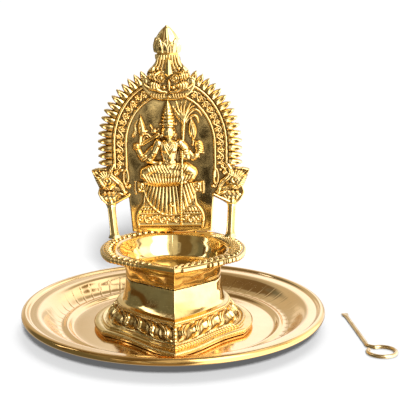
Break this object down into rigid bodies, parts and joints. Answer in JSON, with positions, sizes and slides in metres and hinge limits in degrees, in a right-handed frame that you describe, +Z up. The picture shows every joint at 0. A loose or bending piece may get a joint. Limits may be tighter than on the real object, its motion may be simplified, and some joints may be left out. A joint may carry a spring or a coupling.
{
  "type": "brass table oil lamp",
  "caption": "Leaf-shaped brass oil bowl on a hollow foot with an arched relief back plate, standing in a round tray, with a loose wick pusher.",
  "frame": {"origin": "centre of the tray's underside, where it rests on the table", "axes": "+Z up, +Y towards the back plate, -Y towards the wick lip and the viewer, +X to the viewer's right"},
  "size_m": [0.2127, 0.178, 0.173],
  "materials": {
    "lamp_brass": "polished cast brass",
    "tray_brass": "polished spun sheet brass",
    "wire_brass": "satin drawn brass"
  },
  "bodies": {
    "tray": {"tray": "tray_brass"},
    "lamp": {"foot": "lamp_brass", "oil_bowl": "lamp_brass", "back_plate": "lamp_brass", "bowl_stud": "wire_brass", "bowl_washer": "wire_brass", "bowl_nut": "wire_brass", "slab_rivet_left": "lamp_brass", "slab_rivet_right": "lamp_brass", "strut_rivet_left": "lamp_brass", "strut_rivet_right": "lamp_brass"},
    "wick_pusher": {"wick_pusher": "wire_brass"}
  },
  "joints": [
    {"name": "lamp_lift", "type": "slide", "parent": "tray", "child": "lamp", "axis": [0, 0, 1], "range_m": [0, 0.06]},
    {"name": "pusher_lift", "type": "slide", "parent": "tray", "child": "wick_pusher", "axis": [0, 0, 1], "range_m": [0, 0.06]}
  ]
}
